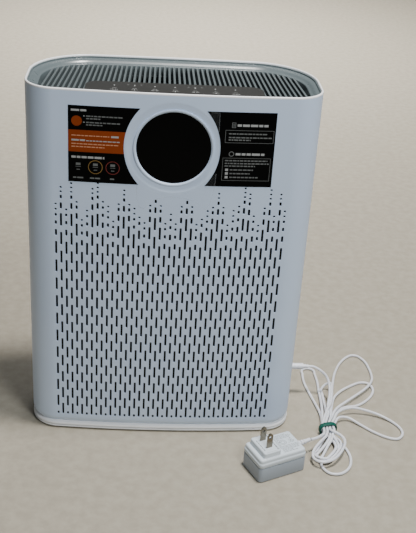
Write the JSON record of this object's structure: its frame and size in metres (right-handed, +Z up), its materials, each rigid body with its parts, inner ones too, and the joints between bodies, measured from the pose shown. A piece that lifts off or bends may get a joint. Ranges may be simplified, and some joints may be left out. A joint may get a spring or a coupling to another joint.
{
  "type": "air purifier",
  "caption": "Upright oval room air purifier with a slotted front, round display, sunken top outlet grille, lift-out rear filter and a corded mains adapter.",
  "frame": {"origin": "on the floor under the middle of the body", "axes": "+Z up, -Y towards the display side, +X towards the power socket"},
  "size_m": [0.4065, 0.243, 0.376],
  "materials": {
    "white_shell": "fine satin",
    "white_rim": "satin",
    "grey_plastic": "satin",
    "dark_plastic": "matte",
    "black_mesh": "woven",
    "panel_brown": "gloss",
    "icon_white": "printed",
    "display_glass": "gloss",
    "label_black": "printed film",
    "board_green": "solder mask",
    "rubber": "matte",
    "steel": "plain",
    "nickel": "nickel plate",
    "filter_paper": "pleated paper",
    "tab_blue": "woven tape",
    "cord_white": "satin PVC",
    "tie_green": "satin",
    "adapter_white": "fine texture"
  },
  "bodies": {
    "housing": {"base_plinth": "white_shell", "rubber_feet": "rubber", "front_shell": "white_shell", "front_grille": "white_shell", "inlet_mesh": "black_mesh", "rear_shell": "white_shell", "shell_screws": "steel", "top_rim": "white_rim", "outlet_bowl": "grey_plastic", "outlet_slats": "grey_plastic", "airflow_guide": "grey_plastic", "control_panel": "panel_brown", "touch_icons": "icon_white", "control_board": "board_green", "display_ring": "white_rim", "display_window": "display_glass", "display_board": "board_green", "left_label": "label_black", "right_label": "label_black", "fan_deck": "grey_plastic", "fan_duct": "grey_plastic", "motor_mount": "grey_plastic", "motor": "steel", "main_board": "board_green", "air_sensor": "dark_plastic", "power_jack": "dark_plastic", "plug_barrel": "nickel", "plug_grip": "cord_white", "cord_lead": "cord_white", "cord_hank": "cord_white", "twist_tie": "tie_green", "adapter_lead": "cord_white", "adapter_relief": "cord_white", "adapter_lower": "adapter_white", "adapter_upper": "adapter_white", "adapter_blades": "nickel"},
    "rotor": {"impeller": "dark_plastic", "motor_shaft": "steel"},
    "cover": {"rear_cover": "white_shell"},
    "left_latch": {"left_latch": "white_rim"},
    "right_latch": {"right_latch": "white_rim"},
    "cartridge": {"filter_frame": "white_rim", "front_pleats": "filter_paper", "rear_pleats": "filter_paper", "filter_seal": "rubber", "filter_tab": "tab_blue"}
  },
  "joints": [
    {"name": "fan_spin", "type": "hinge", "parent": "housing", "child": "rotor", "pos_m": [0, 0.0045, 0.31], "axis": [0, 0, 1], "continuous": true},
    {"name": "cover_slide", "type": "slide", "parent": "housing", "child": "cover", "axis": [0, 1, 0], "range_m": [0, 0.16]},
    {"name": "filter_slide", "type": "slide", "parent": "housing", "child": "cartridge", "axis": [0, 1, 0], "range_m": [0, 0.128]},
    {"name": "left_latch_press", "type": "slide", "parent": "cover", "child": "left_latch", "axis": [0, 0, -1], "range_m": [0, 0.003], "stiffness_N_per_m": 400, "springref_m": -0.002},
    {"name": "right_latch_press", "type": "slide", "parent": "cover", "child": "right_latch", "axis": [0, 0, -1], "range_m": [0, 0.003], "stiffness_N_per_m": 400, "springref_m": -0.002}
  ],
  "couplings": [
    {"joint": "filter_slide", "follows": "cover_slide", "ratio": 0.8}
  ]
}
